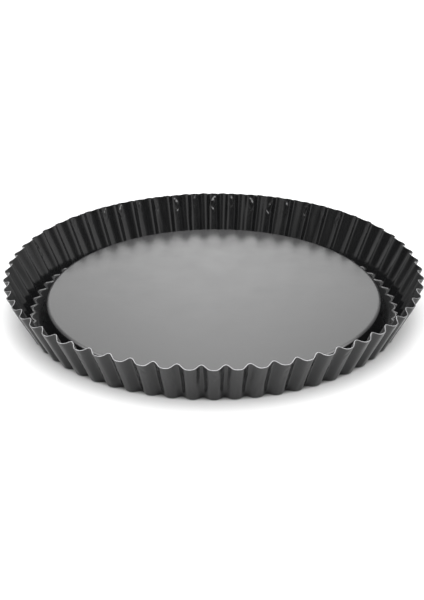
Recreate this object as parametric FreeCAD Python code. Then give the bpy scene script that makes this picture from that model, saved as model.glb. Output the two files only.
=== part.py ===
import FreeCAD, Part
import math
import os

# Fluted tart pan with a raised centre, pressed from thin coated steel sheet.
#   fluted_ring   flared wall with sixty flutes, a rounded foot and a narrow
#                 ledge turned inwards round a large round opening
#   raised_base   lift-out plate: flat margin, leaning side, raised round top;
#                 its margin lies on the ring's ledge
#
# Frame: millimetres, +Z up.  Origin at the centre of the underside, on the
# plane the pan stands on.  Lobes of the wall lie on +X, +Y, -X and -Y.
# A lobe is an outward bulge of the wall; a ridge is the inward fold between
# two lobes.  Angles round the pan are in degrees from +X.

# ---------------------------------------------------------------- dimensions
FLUTES = 60
PITCH = 360.0 / FLUTES      # angle taken by one flute, degrees

SHEET_RING = 0.6            # ring sheet thickness
SHEET_BASE = 0.6            # base sheet thickness

RIM_LOBE_R = 150.95         # rim radius in a lobe
RIM_DEPTH = 4.0             # a ridge is this much further in
RIM_SHARP = 1.45            # how narrow the ridge is: 1 is a plain cosine wave
RIM_LOBE_Z = 30.45          # rim height in a lobe
RIM_PEAK = 1.85             # rim edge stands this much higher at a ridge
RIM_PEAK_SHARP = 2.6        # and rises over a narrower stretch than the ridge

FOOT_FILLET = 2.2           # outer radius of the rounded foot
FOOT_LOBE_R = 134.0         # where the flat underside ends in a lobe
FOOT_DEPTH = 3.9            # flutes keep nearly their full depth at the foot
FOOT_SHARP = 1.75           # with a slightly narrower ridge than at the rim

OPENING_R = 122.0           # round opening inside the ledge

BASE_TOP_Z = 11.7           # top face of the raised centre
BASE_EDGE_R = 128.8         # outer edge of the base's flat margin
BASE_FLAT_R = 119.1         # where the flat top ends and the shoulder begins
BASE_SHOULDER = 3.0         # outer radius of the shoulder
BASE_ROOT = 3.0             # upper radius where the side meets the margin
BASE_DRAFT = 24.0           # lean of the side from vertical, degrees

# sampling of one flute
COLUMNS = 31                # meridians across a flute
GATHER = 0.6                # how much closer they stand at the ridge
FOOT_INTERVALS = 8          # equal steps round the foot
WALL_ROWS = 12              # rows up the wall, each this much further apart
WALL_GROWTH = 1.32          # than the one below it
DIFF_STEP = 1e-3            # finite difference step for surface normals

DEGREE = 3                  # of the spline surfaces
SEW_TOLERANCE = 0.002

OUT = "parts"
V = FreeCAD.Vector
ORIGIN = V(0, 0, 0)
AXIS = V(0, 0, 1)


# ------------------------------------------------------- shape of the flutes
def ridge(angle, sharp):
    """1 at the crest of a ridge, 0 in the middle of a lobe."""
    phase = math.radians(FLUTES * (angle - PITCH / 2))
    return (0.5 + 0.5 * math.cos(phase)) ** sharp


def meridian(angle):
    """Foot radius, turn of the foot arc in radians, rim radius and rim height."""
    rim_r = RIM_LOBE_R - RIM_DEPTH * ridge(angle, RIM_SHARP)
    rim_z = RIM_LOBE_Z + RIM_PEAK * ridge(angle, RIM_PEAK_SHARP)
    foot_r = FOOT_LOBE_R - FOOT_DEPTH * ridge(angle, FOOT_SHARP)
    # the straight wall runs from the rim, tangent to the foot arc
    run = rim_r - foot_r
    rise = rim_z - FOOT_FILLET
    lean = math.atan2(run, rise) - math.asin(FOOT_FILLET / math.hypot(run, rise))
    return foot_r, math.pi / 2 - lean, rim_r, rim_z


def polar(radius, z, angle):
    a = math.radians(angle)
    return V(radius * math.cos(a), radius * math.sin(a), z)


def foot_point(angle, s):
    """Outer skin of the rounded foot, s from 0 (flat underside) to 1 (wall)."""
    foot_r, turn, _, _ = meridian(angle)
    return polar(foot_r + FOOT_FILLET * math.sin(s * turn),
                 FOOT_FILLET - FOOT_FILLET * math.cos(s * turn), angle)


def wall_point(angle, s):
    """Outer skin of the wall, s from 0 (top of the foot) to 1 (rim)."""
    _, _, rim_r, rim_z = meridian(angle)
    start = foot_point(angle, 1)
    return start + (polar(rim_r, rim_z, angle) - start) * s


def inner_point(point_at, angle, s):
    """Point of the inner skin, one sheet thickness along the inward normal."""
    around = point_at(angle + DIFF_STEP, s) - point_at(angle - DIFF_STEP, s)
    above = point_at(angle, min(s + DIFF_STEP, 1))
    below = point_at(angle, max(s - DIFF_STEP, 0))
    normal = (above - below).cross(around)
    normal.normalize()
    return point_at(angle, s) + normal * SHEET_RING


def sample_skins(angle):
    """Points of the outer and inner skins up one meridian, foot then wall."""
    stations = [(foot_point, i / FOOT_INTERVALS) for i in range(FOOT_INTERVALS + 1)]
    stations += [(wall_point, (WALL_GROWTH ** (i + 1) - 1) / (WALL_GROWTH ** WALL_ROWS - 1))
                 for i in range(WALL_ROWS)]
    outer = [point_at(angle, s) for point_at, s in stations]
    inner = [inner_point(point_at, angle, s) for point_at, s in stations]
    # the first inner point lies exactly on the flat top of the ledge
    inner[0] = V(outer[0].x, outer[0].y, SHEET_RING)
    return outer, inner


def gathered(u):
    """Angle across one flute, lobe to lobe, with more points at the ridge."""
    return PITCH * (u + GATHER / (2 * math.pi) * math.sin(2 * math.pi * u))


# ------------------------------------------------------ spline interpolation
def spline_basis(params):
    """Knots by averaging, and the matrix of basis functions at the parameters."""
    n = len(params)
    inner_knots = [sum(params[i + 1:i + 1 + DEGREE]) / DEGREE
                   for i in range(n - DEGREE - 1)]
    knots = [0.0] * (DEGREE + 1) + inner_knots + [1.0] * (DEGREE + 1)
    rows = []
    for u in params:
        span = max(k for k in range(DEGREE, n) if knots[k] <= u)
        basis = [1.0]
        for d in range(1, DEGREE + 1):
            # Cox-de Boor step from degree d - 1 to d
            raised = [0.0] * (d + 1)
            for i in range(d):
                left, right = knots[span + i + 1 - d], knots[span + i + 1]
                share = basis[i] / (right - left)
                raised[i] += share * (right - u)
                raised[i + 1] += share * (u - left)
            basis = raised
        row = [0.0] * n
        row[span - DEGREE:span + 1] = basis
        rows.append(row)
    return knots, rows


def solve(matrix, values):
    """Gaussian elimination with pivoting; each value is a list of numbers."""
    n = len(matrix)
    rows = [list(matrix[i]) + list(values[i]) for i in range(n)]

    def eliminate(i, k, factor):
        if factor:
            rows[k] = [x - factor * y for x, y in zip(rows[k], rows[i])]

    for i in range(n):
        pivot = max(range(i, n), key=lambda k: abs(rows[k][i]))
        rows[i], rows[pivot] = rows[pivot], rows[i]
        for k in range(i + 1, n):
            eliminate(i, k, rows[k][i] / rows[i][i])
    for i in range(n - 1, -1, -1):
        rows[i] = [x / rows[i][i] for x in rows[i]]
        for k in range(i):
            eliminate(i, k, rows[k][i])
    return [row[n:] for row in rows]


def spline_surface(grid, across, up):
    """Surface through a grid of points; across and up are its parameters."""
    knots_u, basis_u = spline_basis(across)
    knots_v, basis_v = spline_basis(up)
    half_solved = solve(basis_u, [[x for p in column for x in p] for column in grid])
    poles = []
    for row in half_solved:
        points = solve(basis_v, [row[3 * j:3 * j + 3] for j in range(len(up))])
        poles.append([V(*p) for p in points])
    # single knots: each end knot once, with its multiplicity given apart
    single_u, single_v = [k[DEGREE:-DEGREE] for k in (knots_u, knots_v)]
    mults_u, mults_v = [[DEGREE + 1] + [1] * (len(k) - 2) + [DEGREE + 1]
                        for k in (single_u, single_v)]
    surface = Part.BSplineSurface()
    surface.buildFromPolesMultsKnots(poles, mults_u, mults_v, single_u, single_v,
                                     False, False, DEGREE, DEGREE)
    return surface


# -------------------------------------------------------------- fluted_ring
def flute_skins():
    """Outer and inner spline surfaces of one flute."""
    across = [i / (COLUMNS - 1.0) for i in range(COLUMNS)]
    columns = [sample_skins(gathered(u)) for u in across]
    # parameters up the section follow its length in the middle of a lobe
    lobe = columns[0][0]
    length = [0.0]
    for p, q in zip(lobe, lobe[1:]):
        length.append(length[-1] + (q - p).Length)
    up = [x / length[-1] for x in length]
    return [spline_surface([column[side] for column in columns], across, up)
            for side in (0, 1)]


def end_edges(surface):
    """Edges of a skin running round the pan, at the foot and at the rim."""
    _, _, v_foot, v_rim = surface.bounds()
    return surface.vIso(v_foot).toShape(), surface.vIso(v_rim).toShape()


def annulus(edges, z):
    """Flat face from the round opening out to the foot of the flutes."""
    outer = Part.Wire(Part.__sortEdges__(edges))
    hole = Part.Wire([Part.makeCircle(OPENING_R, V(0, 0, z), AXIS)])
    return Part.makeFace([outer, hole], "Part::FaceMakerBullseye").Faces


def round_pan(shape):
    """Copies of a shape, one for each flute."""
    turns = [FreeCAD.Placement(ORIGIN, FreeCAD.Rotation(AXIS, PITCH * k)).toMatrix()
             for k in range(FLUTES)]
    return [shape.transformed(turn) for turn in turns]


def fluted_ring():
    skin_out, skin_in = flute_skins()
    under_edge, rim_out = end_edges(skin_out)
    ledge_edge, rim_in = end_edges(skin_in)
    rim_face = Part.makeRuledSurface(rim_out, rim_in)

    sector = [round_pan(f) for f in (skin_out.toShape(), rim_face, skin_in.toShape())]
    faces = [face for flute in zip(*sector) for face in flute]
    faces += annulus(round_pan(under_edge), 0)
    faces += annulus(round_pan(ledge_edge), SHEET_RING)
    opening = Part.makeCylinder(OPENING_R, SHEET_RING, ORIGIN, AXIS)
    faces += [f for f in opening.Faces if isinstance(f.Surface, Part.Cylinder)]

    sewn = Part.Compound(faces)
    sewn.sewShape(SEW_TOLERANCE)
    ring = Part.makeSolid(sewn.Shells[0])
    # sewing may leave the shell inside out
    if ring.Volume < 0:
        ring.reverse()
    return ring


# -------------------------------------------------------------- raised_base
def arc(centre, radius, start, end):
    """Arc in the XZ plane, angles in degrees from +X; edge and its two ends."""
    points = []
    for angle in (start, 0.5 * (start + end), end):
        a = math.radians(angle)
        points.append(centre + V(radius * math.cos(a), 0, radius * math.sin(a)))
    return Part.Arc(*points).toShape(), points[0], points[2]


def raised_base():
    draft = math.radians(BASE_DRAFT)
    margin_low_z = SHEET_RING           # the margin rests on the ledge
    margin_high_z = margin_low_z + SHEET_BASE

    # upper skin: flat top, shoulder, leaning side, root, margin
    shoulder_centre = V(BASE_FLAT_R, 0, BASE_TOP_Z - BASE_SHOULDER)
    shoulder_high, top_end, side_top = arc(shoulder_centre, BASE_SHOULDER, 90, BASE_DRAFT)
    # the side leans outwards as it falls, tangent to shoulder and root
    root_z = margin_high_z + BASE_ROOT
    drop = side_top.z - (root_z - BASE_ROOT * math.sin(draft))
    side_foot_r = side_top.x + drop * math.tan(draft)
    root_centre = V(side_foot_r + BASE_ROOT * math.cos(draft), 0, root_z)
    root_high, side_foot, margin_start = arc(root_centre, BASE_ROOT, 180 + BASE_DRAFT, 270)

    # lower skin, one sheet thickness below
    root_low, low_margin_start, low_side_foot = arc(
        root_centre, BASE_ROOT + SHEET_BASE, 270, 180 + BASE_DRAFT)
    shoulder_low, low_side_top, low_top_end = arc(
        shoulder_centre, BASE_SHOULDER - SHEET_BASE, BASE_DRAFT, 90)

    top_centre = V(0, 0, BASE_TOP_Z)
    low_centre = V(0, 0, BASE_TOP_Z - SHEET_BASE)
    edge_high = V(BASE_EDGE_R, 0, margin_high_z)
    edge_low = V(BASE_EDGE_R, 0, margin_low_z)
    line = Part.makeLine
    profile = Part.Wire([
        line(top_centre, top_end), shoulder_high,
        line(side_top, side_foot), root_high,
        line(margin_start, edge_high),
        line(edge_high, edge_low),
        line(edge_low, low_margin_start), root_low,
        line(low_side_foot, low_side_top), shoulder_low,
        line(low_top_end, low_centre),
        line(low_centre, top_centre)])
    return Part.Face(profile).revolve(ORIGIN, AXIS, 360)


# --------------------------------------------------------------------- write
os.makedirs("parts", exist_ok=True)
for build in (fluted_ring, raised_base):
    build().exportStep(os.path.join(OUT, build.__name__ + ".step"))
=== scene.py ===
"""Round fluted baking tin in two pieces, with a black coating: a ring with a flared,
fluted wall and a narrow ledge at its foot, and a raised base plate that lies on the ledge.

Metres, +Z up. The tin stands on z = 0 with its axis on Z; its front faces -Y and its
right side +X.
"""
import bpy
import math
import numpy as np
from mathutils import Matrix, Vector


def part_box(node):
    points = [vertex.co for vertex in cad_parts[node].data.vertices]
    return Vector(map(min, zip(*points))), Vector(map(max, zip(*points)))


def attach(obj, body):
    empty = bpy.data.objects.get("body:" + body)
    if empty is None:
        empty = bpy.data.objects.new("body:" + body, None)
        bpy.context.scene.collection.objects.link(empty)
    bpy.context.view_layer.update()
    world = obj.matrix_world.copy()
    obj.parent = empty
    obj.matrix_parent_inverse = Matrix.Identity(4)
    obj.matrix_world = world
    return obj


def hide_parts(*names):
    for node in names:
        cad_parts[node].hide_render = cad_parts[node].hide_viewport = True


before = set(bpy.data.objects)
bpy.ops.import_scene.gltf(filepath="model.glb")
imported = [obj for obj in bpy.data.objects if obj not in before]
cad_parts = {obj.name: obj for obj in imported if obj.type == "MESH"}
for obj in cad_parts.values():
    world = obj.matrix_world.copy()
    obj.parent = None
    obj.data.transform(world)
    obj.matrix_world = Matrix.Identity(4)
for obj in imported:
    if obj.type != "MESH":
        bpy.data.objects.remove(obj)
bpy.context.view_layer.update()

# ---------------------------------------------------------------- dimensions
MM = 0.001
SHEET = 0.6 * MM                  # sheet thickness of both pieces

# Ring. LOBE is the radius of an outward lobe; DEEP is how far a ridge stands in from it;
# SHARP is the power that sharpens the ridge.
FLUTES = 60
RIM_LOBE, RIM_DEEP, RIM_SHARP = 150.95 * MM, 4.0 * MM, 1.45
RIM_Z, RIM_PEAK, RIM_PEAK_SHARP = 30.45 * MM, 1.85 * MM, 2.6
FOOT_LOBE, FOOT_DEEP, FOOT_SHARP = 134.0 * MM, 3.9 * MM, 1.75
FOOT_BLUNT = 0.35 * MM            # the lobes are a little blunt at the foot
FOOT_BEND = 2.2 * MM              # outer bend radius between floor and wall
LOBE_RISE = 0.38 * MM             # rise of the inner floor of a lobe
LOBE_RISE_R, LOBE_RISE_RUN = 130.4 * MM, 3.2 * MM
LEDGE_R = 126.0 * MM
HOLE_R = 122.0 * MM
HOLE_CORNER = 0.04                # mm, rounding of the hole's edges
EDGE_BULGE = 0.018 * MM           # rounding of the cut rim
WALL_R = 147.0 * MM               # radius at which distance round the wall is taken

# Base
BASE_Z = 11.7 * MM
BASE_R = 128.8 * MM
BASE_FLAT = 119.1 * MM            # radius of the flat top
BASE_SHOULDER = 3.0 * MM
BASE_ROOT = 3.0 * MM
DRAFT_DEG = 24.0                  # lean of the side from the vertical
DRAFT = math.radians(DRAFT_DEG)

_, ring_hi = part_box("fluted_ring")
_, base_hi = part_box("raised_base")
assert abs(ring_hi.z - 0.03256) < 0.0004 and abs(ring_hi.x - RIM_LOBE) < 0.0005
assert abs(base_hi.z - BASE_Z) < 0.0002 and abs(base_hi.x - BASE_R) < 0.0005

rng = np.random.default_rng(20231)

# ------------------------------------------------------------ the fluted ring
FLUTE_COLS = 44
COLS = FLUTES * FLUTE_COLS
CROWDING = 0.6
# columns stand closer together at the narrow ridges than in the wide lobes
step = np.arange(COLS) / FLUTE_COLS
column_angle = ((step + CROWDING / (2 * np.pi) * np.sin(2 * np.pi * step))
                / FLUTES * 2 * np.pi)

# Rows of the section as fractions of the flat floor, the foot bend and the wall
FLAT_ROWS = np.array([0.0, 0.25, 0.45, 0.58, 0.68, 0.77, 0.86, 0.94])
BEND_ROWS = np.linspace(0, 1, 13)
WALL_ROWS = np.concatenate([[0.02, 0.05], np.linspace(0.085, 0.56, 14),
                            np.linspace(0.58, 0.972, 36), [0.982, 0.99, 0.9965, 1.0]])
LEDGE_ROWS = (0.06, 0.3, 0.6, 0.85)         # from the hole to LEDGE_R
RIM_ROWS = (0.13, 0.38, 0.62, 0.87)         # across the cut rim
# height as a fraction of the sheet, mm out from the hole's radius
HOLE_ROWS = ((0.985, HOLE_CORNER), (0.90, 0.0), (0.50, 0.0), (0.10, 0.0),
             (0.015, HOLE_CORNER))

# Puckers in the lobes below the rim: degrees round from the front by way of the right,
# depth below the rim in mm, strength
PUCKERS = [
    (210, 4.6, 1.0), (204, 3.4, 0.5), (198, 4.0, 0.6), (192, 5.3, 1.0), (186, 3.4, 0.3),
    (180, 5.2, 1.1), (174, 3.6, 0.55), (168, 5.8, 0.8), (162, 6.8, 1.0), (156, 4.6, 0.6),
    (150, 3.6, 1.0), (144, 5.0, 0.4), (138, 5.0, 0.7), (126, 4.6, 0.5), (120, 9.0, 0.4),
    (114, 5.0, 0.6), (96, 5.5, 0.45), (84, 4.5, 0.4), (72, 5.0, 0.5), (54, 4.0, 0.3),
    (36, 4.6, 0.3), (18, 5.2, 0.25), (0, 4.2, 0.25), (342, 4.8, 0.3), (324, 4.0, 0.3),
    (300, 5.0, 0.4), (282, 4.4, 0.45), (264, 5.0, 0.6), (252, 4.2, 0.4), (246, 6.0, 0.6),
    (240, 4.8, 0.45), (228, 4.2, 0.6), (222, 5.0, 0.4), (216, 4.4, 0.7)]
# Marks that make up one pucker: degrees sideways, mm further down, half length and
# half width in mm, share of the height, tilt in radians
PUCKER_MARKS = [
    (0.0, 1.0, 2.0, 0.95, 1.0, 0.35),       # blister
    (0.6, -1.6, 1.1, 0.6, 0.55, 0.25),      # smaller blister above it
    (-0.20, 8.0, 3.0, 0.55, 0.50, -0.65),   # two creases below it
    (0.50, 6.5, 2.6, 0.50, 0.28, 0.55),
    (-0.85, 1.5, 3.2, 0.75, -0.35, 0.1)]    # hollow beside it

# Material slots of the ring; LEDGE is a darker coat that paints shade on the ledge and on the
# inner floor of the lobes
OUT_COAT, IN_COAT, CUT, LEDGE = 0, 1, 2, 3


def smooth_ring(values, count):
    """Periodic smooth interpolation of a few values onto count columns."""
    size = len(values)
    place = np.arange(count) / count * size
    index = np.floor(place).astype(int)
    part = place - index
    before, here, after, later = (values[(index + k) % size] for k in (-1, 0, 1, 2))
    return here + 0.5 * part * (
        after - before + part * (2 * before - 5 * here + 4 * after - later
                                 + part * (3 * (here - after) + later - before)))


def column_noise(spread, per_flute=1):
    """Random smooth variation round the ring."""
    return smooth_ring(rng.normal(0, spread, FLUTES * per_flute), COLS)


def surface(radius, z):
    """Points at the column angles for one row or a stack of rows."""
    return np.stack([radius * np.cos(column_angle), radius * np.sin(column_angle),
                     z * np.ones_like(radius)], -1)


def circle(radius, z):
    return surface(np.full(COLS, radius), z)


def inward_normals(points):
    """Unit normals of the grid, pointing to the inside of the tin."""
    along_row = np.roll(points, -1, 1) - np.roll(points, 1, 1)
    along_column = np.gradient(points, axis=0)
    normal = -np.cross(along_row, along_column)
    return normal / np.linalg.norm(normal, axis=-1, keepdims=True)


def crease(slant, degrees, depth, along, across, height, tilt):
    """A raised or sunk wrinkle in the wall, at an angle from +X and a depth below the rim."""
    turn = (column_angle - math.radians(degrees) + np.pi) % (2 * np.pi) - np.pi
    x = turn * WALL_R
    y = slant - depth
    cosine, sine = math.cos(tilt), math.sin(tilt)
    u = x * cosine + y * sine
    v = -x * sine + y * cosine
    return height * np.exp(-(u / across) ** 2 - (v / along) ** 2)


def wall_relief(slant):
    """Inward displacement of the wall, from its depth below the rim."""
    relief = np.zeros_like(slant)
    for azimuth, depth, strength in PUCKERS:
        offset = (rng.random() - 0.5) * 0.9
        side = 1 if rng.random() < 0.5 else -1
        height = strength * (0.50 + 0.12 * rng.random()) * MM
        centre = azimuth - 90.0 + offset    # from +X instead of from the front
        for sideways, down, along, across, share, tilt in PUCKER_MARKS:
            relief += crease(slant, degrees=centre + sideways * side,
                             depth=(depth + down) * MM, along=along * MM,
                             across=across * MM, height=share * height,
                             tilt=tilt * side)
    # slow unevenness, stretched along the flutes
    for _ in range(26):
        waves_round = rng.integers(18, 170)
        waves_down = rng.uniform(20, 140)
        relief += (0.011 * MM * np.cos(waves_round * column_angle + rng.uniform(0, 6.28)
                                       + waves_down * slant * 2.0))
    return relief


def ring_section():
    """Radius and height of the outer surface, [row, column], and depth below the rim."""
    # the rim varies by a few hundredths of a millimetre
    rim_z_noise = column_noise(0.055 * MM, per_flute=2)
    rim_r_noise = column_noise(0.060 * MM, per_flute=2)
    phase_noise = column_noise(0.05)
    foot_noise = column_noise(0.06 * MM)
    phase = FLUTES * column_angle - np.pi + phase_noise

    def ridge(sharp):
        """1 at the crest of a ridge, 0 in a lobe."""
        return ((1 + np.cos(phase)) / 2) ** sharp

    rim_r = RIM_LOBE - RIM_DEEP * ridge(RIM_SHARP) + rim_r_noise
    rim_z = RIM_Z + RIM_PEAK * ridge(RIM_PEAK_SHARP) + rim_z_noise
    foot_r = (FOOT_LOBE - FOOT_DEEP * ridge(FOOT_SHARP)
              - FOOT_BLUNT * (1 - ridge(1.0)) + foot_noise)
    # lean of the wall from the vertical, tangent to the foot bend
    run, rise = rim_r - foot_r, rim_z - FOOT_BEND
    lean = np.arctan2(run, rise) - np.arcsin(FOOT_BEND / np.hypot(run, rise))

    def bend_point(angle):
        return foot_r + FOOT_BEND * np.sin(angle), FOOT_BEND - FOOT_BEND * np.cos(angle)

    wall_r, wall_z = bend_point(np.pi / 2 - lean)
    points = [(LEDGE_R + (foot_r - LEDGE_R) * s, np.zeros(COLS)) for s in FLAT_ROWS]
    points += [bend_point(s * (np.pi / 2 - lean)) for s in BEND_ROWS]
    points += [(wall_r + (rim_r - wall_r) * s, wall_z + (rim_z - wall_z) * s)
               for s in WALL_ROWS]
    radius = np.array([point[0] for point in points])
    z = np.array([point[1] for point in points])
    return radius, z, np.hypot(rim_r - radius, rim_z - z)


def grid_mesh(name, points, slots):
    """Closed mesh of points[row][column], wrapped both round the tin and round the
    section. slots gives the material slot of the faces that follow each row."""
    rows, cols = points.shape[:2]
    row, col = np.meshgrid(np.arange(rows), np.arange(cols), indexing="ij")
    next_row, next_col = (row + 1) % rows, (col + 1) % cols
    faces = np.stack([row * cols + col, row * cols + next_col,
                      next_row * cols + next_col, next_row * cols + col],
                     -1).reshape(-1, 4)
    mesh = bpy.data.meshes.new(name)
    mesh.vertices.add(rows * cols)
    mesh.vertices.foreach_set("co", points.astype(np.float32).ravel())
    mesh.loops.add(faces.size)
    mesh.loops.foreach_set("vertex_index", faces.astype(np.int32).ravel())
    mesh.polygons.add(len(faces))
    mesh.polygons.foreach_set("loop_start", np.arange(0, faces.size, 4, dtype=np.int32))
    mesh.polygons.foreach_set("material_index",
                              np.repeat(np.asarray(slots, np.int32), cols))
    mesh.update(calc_edges=True)
    mesh.polygons.foreach_set("use_smooth", np.ones(len(faces), bool))
    mesh.update()
    return link_object(name, mesh)


def link_object(name, data):
    obj = bpy.data.objects.new(name, data)
    bpy.context.scene.collection.objects.link(obj)
    return obj


def build_ring():
    section_r, section_z, slant = ring_section()
    # the relief fades in from the ledge to the top of the foot bend
    foot_rows = len(FLAT_ROWS) + len(BEND_ROWS)
    fade = np.ones((len(section_r), 1))
    fade[:foot_rows] = np.linspace(0, 1, foot_rows)[:, None] ** 1.5
    relief = wall_relief(slant) * fade

    outer = surface(section_r, section_z)
    outer = outer + inward_normals(outer) * relief[..., None]
    inner = outer + inward_normals(outer) * SHEET
    # the floor keeps an exact thickness, but rises a little in each lobe
    for i in range(len(FLAT_ROWS)):
        lift = LOBE_RISE * np.clip((section_r[i] - LOBE_RISE_R) / LOBE_RISE_RUN, 0, 1)
        inner[i] = surface(section_r[i], SHEET + lift)

    # once round the section: under the ledge, up the outside, over the rim,
    # down the inside, along the ledge and down the edge of the hole
    ledge_radii = [HOLE_R + (LEDGE_R - HOLE_R) * s for s in LEDGE_ROWS]
    rows = [(circle(radius, 0.0), OUT_COAT) for radius in ledge_radii]
    rows += [(row, OUT_COAT) for row in outer[:-1]]
    rows.append((outer[-2] + (outer[-1] - outer[-2]) * 0.35, CUT))
    rim_rise = outer[-1] - outer[-3]
    rim_rise = rim_rise / np.linalg.norm(rim_rise, axis=-1, keepdims=True)
    for s in RIM_ROWS:
        bulge = EDGE_BULGE * (1 - (2 * s - 1) ** 2)
        rows.append((outer[-1] + (inner[-1] - outer[-1]) * s + rim_rise * bulge, CUT))
    rows.append((inner[-2] + (inner[-1] - inner[-2]) * 0.35, IN_COAT))
    # most of the flat inner floor takes the LEDGE coat as painted shade; the rest of the
    # floor and the foot bend keep the bright inner coat
    for i in range(len(inner) - 2, -1, -1):
        rows.append((inner[i], LEDGE if i <= 5 else IN_COAT))
    rows += [(circle(radius, SHEET), LEDGE) for radius in reversed(ledge_radii)]
    rows += [(circle(HOLE_R + out * MM, SHEET * level), IN_COAT)
             for level, out in HOLE_ROWS]
    return grid_mesh("ring_body", np.array([row[0] for row in rows]),
                     [row[1] for row in rows])


# ------------------------------------------------------------ the raised base
BASE_COLS = 720
TOP_RADII = np.array([6, 14, 24, 36, 48, 60, 72, 84, 94, 102, 108, 112, 115, 117,
                      118.3]) * MM
MARGIN_BACK = (0.7, 0.3, 0.12)    # mm in from the outer edge
SHOULDER_STEPS = 15
SIDE_SHOULDER_ROW = 9             # shoulder row where the painted shade of the side starts


def arc(centre, radius, start, end, count):
    """Points of an arc in the section, from start to end degrees."""
    return [(centre[0] + radius * math.cos(a), centre[1] + radius * math.sin(a))
            for a in np.radians(np.linspace(start, end, count))]


def base_profile():
    """Section (radius, z) from the top centre round to the underside centre, and the
    number of its points on the top side and the edge."""
    margin_low = SHEET                      # the margin lies on the ledge
    margin_top = margin_low + SHEET
    shoulder = (BASE_FLAT, BASE_Z - BASE_SHOULDER)
    side_r = shoulder[0] + BASE_SHOULDER * math.cos(DRAFT)
    side_z = shoulder[1] + BASE_SHOULDER * math.sin(DRAFT)
    root_z = margin_top + BASE_ROOT
    drop = side_z - (root_z - BASE_ROOT * math.sin(DRAFT))
    root = (side_r + drop * math.tan(DRAFT) + BASE_ROOT * math.cos(DRAFT), root_z)

    profile = [(radius, BASE_Z) for radius in TOP_RADII]
    profile += arc(shoulder, BASE_SHOULDER, 90, DRAFT_DEG, SHOULDER_STEPS)
    profile += arc(root, BASE_ROOT, 180 + DRAFT_DEG, 270, 11)
    profile += [(BASE_R - back * MM, margin_top) for back in MARGIN_BACK]
    profile += [(BASE_R - 0.035 * MM, margin_top - 0.03 * MM),
                (BASE_R, margin_top - 0.10 * MM),
                (BASE_R, margin_low + 0.10 * MM),
                (BASE_R - 0.035 * MM, margin_low + 0.03 * MM)]
    top_count = len(profile)
    profile += [(BASE_R - back * MM, margin_low) for back in reversed(MARGIN_BACK)]
    profile += arc(root, BASE_ROOT + SHEET, 270, 180 + DRAFT_DEG, 11)
    profile += arc(shoulder, BASE_SHOULDER - SHEET, DRAFT_DEG, 90, 13)
    profile += [(radius, BASE_Z - SHEET) for radius in TOP_RADII[::-1]]
    return np.array(profile), top_count


def build_base():
    profile, top_count = base_profile()
    angle = np.arange(BASE_COLS) / BASE_COLS * 2 * np.pi
    points = np.stack([profile[:, :1] * np.cos(angle), profile[:, :1] * np.sin(angle),
                       np.repeat(profile[:, 1:], BASE_COLS, 1)], -1)
    # a few hundredths of slow unevenness, fading out down the side
    x, y, z = points[..., 0], points[..., 1], points[..., 2]
    uneven = np.zeros_like(x)
    for _ in range(9):
        waves = rng.uniform(8, 34)
        heading = rng.uniform(0, 6.283)
        uneven += 0.010 * MM * np.cos(waves * (x * math.cos(heading)
                                               + y * math.sin(heading))
                                      + rng.uniform(0, 6.283))
    points[..., 2] += uneven * np.clip((z - 0.006) / 0.004, 0, 1)

    last = (len(points) - 1) * BASE_COLS    # first vertex of the last row
    faces = []
    for row in range(0, last, BASE_COLS):
        for j in range(BASE_COLS):
            k = (j + 1) % BASE_COLS
            faces.append((row + j, row + BASE_COLS + j, row + BASE_COLS + k, row + k))
    top_centre = last + BASE_COLS
    low_centre = top_centre + 1
    for j in range(BASE_COLS):
        k = (j + 1) % BASE_COLS
        faces.append((top_centre, j, k))
        faces.append((low_centre, last + k, last + j))
    verts = np.vstack([points.reshape(-1, 3), [[0, 0, points[0, :, 2].mean()]],
                       [[0, 0, points[-1, :, 2].mean()]]])
    mesh = bpy.data.meshes.new("base_plate")
    mesh.from_pydata(verts.tolist(), [], faces)
    mesh.update()
    # side, root and margin, from the lower shoulder to the outer edge, get the darker coat
    # that paints shade on them
    side_start = len(TOP_RADII) + SIDE_SHOULDER_ROW
    for polygon in mesh.polygons:
        polygon.use_smooth = True
        if side_start <= polygon.index // BASE_COLS < top_count:
            polygon.material_index = 1
    return link_object("base_plate", mesh)


ring = build_ring()
base = build_base()


# ---------------------------------------------------------------- node helpers
def feed(tree, socket, value):
    """Link a socket to a node output, or set it to a plain value."""
    if isinstance(value, bpy.types.NodeSocket):
        tree.links.new(value, socket)
    else:
        socket.default_value = value


def add_node(tree, kind, inputs=None, **settings):
    node = tree.nodes.new(kind)
    for key, value in settings.items():
        setattr(node, key, value)
    for key, value in (inputs or {}).items():
        feed(tree, node.inputs[key], value)
    return node


def noise(tree, vector, scale, detail=2.0, rough=0.5):
    return add_node(tree, "ShaderNodeTexNoise", {
        "Scale": scale, "Detail": detail, "Roughness": rough,
        "Vector": vector}).outputs["Fac"]


def remap(tree, value, source, target, kind="LINEAR"):
    """Map the source range (low, high) to the target range."""
    return add_node(tree, "ShaderNodeMapRange", {
        "From Min": source[0], "From Max": source[1], "To Min": target[0],
        "To Max": target[1], "Value": value}, interpolation_type=kind).outputs["Result"]


def mix_colour(tree, factor, first, second):
    return add_node(tree, "ShaderNodeMix", {"Factor": factor, "A": first, "B": second},
                    data_type="RGBA").outputs["Result"]


def bump(tree, height, distance, normal=None):
    inputs = {"Strength": 1.0, "Distance": distance, "Height": height}
    if normal is not None:
        inputs["Normal"] = normal
    return add_node(tree, "ShaderNodeBump", inputs).outputs["Normal"]


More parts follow.
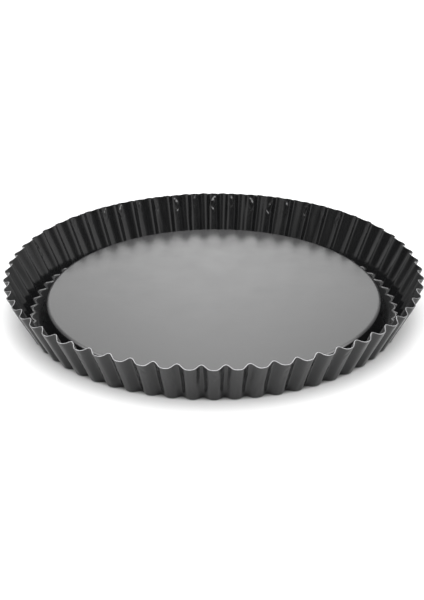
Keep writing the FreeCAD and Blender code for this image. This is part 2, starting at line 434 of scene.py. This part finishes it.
def new_material(name):
    """An empty Principled material: material, tree, shader and object coordinates."""
    material = bpy.data.materials.new(name)
    material.use_nodes = True
    tree = material.node_tree
    tree.nodes.clear()
    output = add_node(tree, "ShaderNodeOutputMaterial")
    shader = add_node(tree, "ShaderNodeBsdfPrincipled")
    tree.links.new(shader.outputs["BSDF"], output.inputs["Surface"])
    coords = add_node(tree, "ShaderNodeTexCoord").outputs["Object"]
    mapping = add_node(tree, "ShaderNodeMapping", {"Vector": coords})
    return material, tree, shader, mapping.outputs["Vector"]


# ----------------------------------------------------------------- materials
NOISE_SPAN = (0.3, 0.7)           # the part of a noise's range that is stretched
PEEL_BUMP = 0.00002               # orange peel
GRAIN_BUMP = 0.00001


def coating(name, dark, light, rough, ior):
    """Coating with fine grain, slight orange peel and faint mottling."""
    material, tree, shader, vector = new_material(name)
    mottle = noise(tree, vector, scale=55.0, detail=3.0, rough=0.55)
    speck = noise(tree, vector, scale=900.0, rough=0.6)
    grain = noise(tree, vector, scale=2600.0)
    colour = mix_colour(tree, remap(tree, speck, (0.35, 0.65), (0.0, 1.0)),
                        (*dark, 1), (*light, 1))
    feed(tree, shader.inputs["Base Color"], colour)
    feed(tree, shader.inputs["Roughness"], remap(tree, mottle, NOISE_SPAN, rough))
    peel = bump(tree, noise(tree, vector, scale=420.0), PEEL_BUMP)
    feed(tree, shader.inputs["Normal"], bump(tree, grain, GRAIN_BUMP, peel))
    shader.inputs["IOR"].default_value = ior
    return material


def cut_steel():
    """Bare steel of the cut rim."""
    material, tree, shader, vector = new_material("cut_steel_edge")
    grain = noise(tree, vector, scale=1400.0, detail=3.0, rough=0.6)
    colour = mix_colour(tree, remap(tree, grain, NOISE_SPAN, (0, 1)),
                        (0.13, 0.13, 0.132, 1), (0.25, 0.25, 0.254, 1))
    feed(tree, shader.inputs["Base Color"], colour)
    shader.inputs["Metallic"].default_value = 1.0
    feed(tree, shader.inputs["Roughness"], remap(tree, grain, NOISE_SPAN, (0.38, 0.55)))
    feed(tree, shader.inputs["Normal"], bump(tree, grain, distance=0.00003))
    return material


outer_coat = coating("ring_outer_coat", dark=(0.0085, 0.0086, 0.0089),
                     light=(0.0125, 0.0127, 0.0130), rough=(0.18, 0.23), ior=1.45)
inner_coat = coating("ring_inner_coat", dark=(0.0036, 0.0037, 0.0039),
                     light=(0.0056, 0.0057, 0.0060), rough=(0.12, 0.17), ior=1.56)
base_coat = coating("base_coat", dark=(0.0055, 0.0056, 0.0058),
                    light=(0.0085, 0.0086, 0.0089), rough=(0.178, 0.238), ior=1.56)
# the coating is rougher in the corner between the raised centre and the wall, and its darker
# colour there is painted shade
DULL_PAINTED_SHADE = {"dark": (0.0020, 0.0021, 0.0022), "light": (0.0034, 0.0035, 0.0037),
        "rough": (0.24, 0.30)}
base_side = coating("base_side_shade_coat", ior=1.12, **DULL_PAINTED_SHADE)
ledge_shade_coat = coating("ledge_shade_coat", ior=1.13, **DULL_PAINTED_SHADE)

for material in (outer_coat, inner_coat, cut_steel(), ledge_shade_coat):
    ring.data.materials.append(material)
for material in (base_coat, base_side):
    base.data.materials.append(material)
# a plain finish on the hidden CAD nodes too
for name, material in (("fluted_ring", outer_coat), ("raised_base", base_coat)):
    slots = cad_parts[name].data.materials
    slots.clear()
    slots.append(material)

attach(ring, "ring")
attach(base, "base")
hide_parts("fluted_ring")
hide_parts("raised_base")


# --------------------------------------------------------------------- stage
def floor_material():
    """Matt white, darkened nearly to black by painted shade where the foot of the tin closes
    over it.
    """
    material, tree, shader, vector = new_material("floor_white")
    white = mix_colour(tree, noise(tree, vector, scale=3.0),
                       (0.90, 0.90, 0.90, 1), (0.93, 0.93, 0.93, 1))
    # painted shade: ambient occlusion darkens the floor colour close to the tin
    openness = add_node(tree, "ShaderNodeAmbientOcclusion", {"Distance": 0.007},
                        samples=24).outputs["AO"]
    shade = remap(tree, openness, (0.05, 0.50), (0.07, 1.0), kind="SMOOTHSTEP")
    feed(tree, shader.inputs["Base Color"], mix_colour(tree, shade, (0, 0, 0, 1), white))
    shader.inputs["Roughness"].default_value = 0.9
    shader.inputs["Specular IOR Level"].default_value = 0.0
    return material


FLOOR_HALF = 6.0
FLOOR_DROP = 0.00005              # keeps the floor clear of the tin's underside
floor_mesh = bpy.data.meshes.new("studio_floor")
floor_mesh.from_pydata([(x * FLOOR_HALF, y * FLOOR_HALF, 0)
                        for x, y in ((-1, -1), (1, -1), (1, 1), (-1, 1))],
                       [], [(0, 1, 2, 3)])
floor = link_object("studio_floor", floor_mesh)
floor.location.z = -FLOOR_DROP
floor_mesh.materials.append(floor_material())

# ------------------------------------------------------------------ lighting
scene = bpy.context.scene
scene.view_settings.view_transform = "Standard"
scene.view_settings.look = "None"

# What the coating mirrors round the horizon: degrees from the front (-Y), positive to
# the right (+X), and brightness. Bright behind, a broad band on the right, dim in front.
SKY = [(-180, 3.22), (-172, 2.20), (-160, 1.25), (-145, 0.80), (-120, 0.80),
       (-85, 0.66), (-64, 0.30), (-48, 0.09), (-20, 0.10), (0, 0.17), (18, 0.26),
       (32, 0.60), (46, 1.00), (90, 1.00), (115, 0.80), (142, 0.70), (160, 1.30),
       (172, 2.20), (180, 3.22)]
SKY_TOP = max(level for _, level in SKY)
SEEN_STRENGTH = 1.05              # backdrop as the camera sees it
OVERHEAD_STRENGTH = 5.0           # mirrored softbox overhead
FILL_STRENGTH = 2.35              # diffuse light from the front
TOP_STRENGTH = 2.4                # diffuse light from above
BASE_STRENGTH = 0.06              # diffuse light from everywhere


def build_world():
    world = bpy.data.worlds.new("studio")
    scene.world = world
    world.use_nodes = True
    tree = world.node_tree
    tree.nodes.clear()

    def calc(operation, first, second):
        return add_node(tree, "ShaderNodeMath", {0: first, 1: second},
                        operation=operation).outputs[0]

    def smooth(value, source, target):
        return remap(tree, value, source, target, kind="SMOOTHSTEP")

    # separate backgrounds for camera rays, mirrored rays and diffuse rays
    output = add_node(tree, "ShaderNodeOutputWorld")
    seen, mirrored, diffuse = (
        add_node(tree, "ShaderNodeBackground", {"Color": (1, 1, 1, 1)}) for _ in range(3))
    seen.inputs["Strength"].default_value = SEEN_STRENGTH
    rays = add_node(tree, "ShaderNodeLightPath").outputs
    camera_split = add_node(tree, "ShaderNodeMixShader", {"Fac": rays["Is Camera Ray"]})
    diffuse_split = add_node(tree, "ShaderNodeMixShader", {
        "Fac": rays["Is Diffuse Ray"], 1: mirrored.outputs[0], 2: diffuse.outputs[0]})
    feed(tree, camera_split.inputs[1], diffuse_split.outputs[0])
    feed(tree, camera_split.inputs[2], seen.outputs[0])
    feed(tree, output.inputs["Surface"], camera_split.outputs[0])

    generated = add_node(tree, "ShaderNodeTexCoord").outputs["Generated"]
    direction = add_node(tree, "ShaderNodeSeparateXYZ", {"Vector": generated}).outputs
    to_back, up = direction["Y"], direction["Z"]

    turn = calc("ARCTAN2", direction["X"], calc("MULTIPLY", to_back, -1.0))
    dial = calc("ADD", calc("DIVIDE", turn, 2 * math.pi), 0.5)
    ramp = add_node(tree, "ShaderNodeValToRGB", {"Fac": dial})
    ramp.color_ramp.interpolation = "EASE"
    stops = ramp.color_ramp.elements
    while len(stops) < len(SKY):
        stops.new(0.5)
    # every place is set before any colour
    for stop, (degrees, _) in zip(stops, SKY):
        stop.position = (degrees + 180) / 360.0
    for stop, (_, level) in zip(stops, SKY):
        stop.color = (*[level / SKY_TOP] * 3, 1)

    horizon = calc("MULTIPLY", ramp.outputs["Color"], SKY_TOP)
    # dimmer near the horizon in front
    front = smooth(to_back, (-0.35, 0.25), (0.55, 1.0))
    gain = calc("ADD", front, calc("MULTIPLY", calc("SUBTRACT", 1.0, front),
                                   smooth(up, (0.10, 0.45), (0.0, 1.0))))
    horizon = calc("MULTIPLY", horizon, gain)
    # and dimmer higher up all round
    horizon = calc("MULTIPLY", horizon, smooth(up, (0.42, 0.50), (1.0, 0.62)))
    overhead = smooth(up, (0.62, 0.72), (0.0, 1.0))
    sky = calc("ADD", calc("MULTIPLY", horizon, calc("SUBTRACT", 1.0, overhead)),
               calc("MULTIPLY", overhead, OVERHEAD_STRENGTH))
    feed(tree, mirrored.inputs["Strength"], sky)

    # diffuse rays are lit from the front and from above
    toward_front = calc("MAXIMUM", calc("MULTIPLY", to_back, -1.0), 0.0)
    fill = calc("MULTIPLY", toward_front, FILL_STRENGTH)
    top = smooth(up, (0.80, 0.93), (0.0, TOP_STRENGTH))
    feed(tree, diffuse.inputs["Strength"],
         calc("ADD", calc("ADD", fill, top), BASE_STRENGTH))


build_world()

LAMP_HEIGHT = 1.7
LAMP_SIZE = 1.1
lamp_data = bpy.data.lights.new("overhead_softbox", "AREA")
lamp_data.shape = "RECTANGLE"
lamp_data.size = lamp_data.size_y = LAMP_SIZE
lamp_data.energy = 2.0
lamp = link_object("overhead_softbox", lamp_data)
lamp.location = (0, 0, LAMP_HEIGHT)
straight_down = Vector((0, 0, -LAMP_HEIGHT))
lamp.rotation_euler = straight_down.to_track_quat("-Z", "Y").to_euler()

# -------------------------------------------------------------------- camera
AIM_Z = 31.4 * MM                 # height of the point the camera circles
CAM_DISTANCE = 1011.4965 * MM
CAM_ELEVATION = math.radians(24.63)
# small turns away from the aim, then a turn of the whole view about Z
PITCH, YAW, ROLL = (math.radians(x) for x in (-1.266, 0.069, 0.356))
SPIN = math.radians(0.095)


def rotate(axis, angle, vector):
    axis = axis / np.linalg.norm(axis)
    return (vector * math.cos(angle) + np.cross(axis, vector) * math.sin(angle)
            + axis * np.dot(axis, vector) * (1 - math.cos(angle)))


def build_camera():
    data = bpy.data.cameras.new("camera")
    camera = link_object("camera", data)
    place = np.array([0, -CAM_DISTANCE * math.cos(CAM_ELEVATION),
                      CAM_DISTANCE * math.sin(CAM_ELEVATION)])
    ahead = -place / np.linalg.norm(place)
    right = np.array([1.0, 0, 0])
    up = np.cross(right, ahead)
    ahead, right = rotate(up, YAW, ahead), rotate(up, YAW, right)
    ahead, up = rotate(right, PITCH, ahead), rotate(right, PITCH, up)
    right, up = rotate(ahead, ROLL, right), rotate(ahead, ROLL, up)
    place[2] += AIM_Z
    pose = Matrix([(right[i], up[i], -ahead[i], place[i]) for i in range(3)]
                  + [(0, 0, 0, 1)])
    camera.matrix_world = Matrix.Rotation(SPIN, 4, "Z") @ pose
    data.sensor_width = 36.0
    data.lens = 84.006
    data.clip_start = 0.01
    data.clip_end = 50.0
    scene.camera = camera


build_camera()
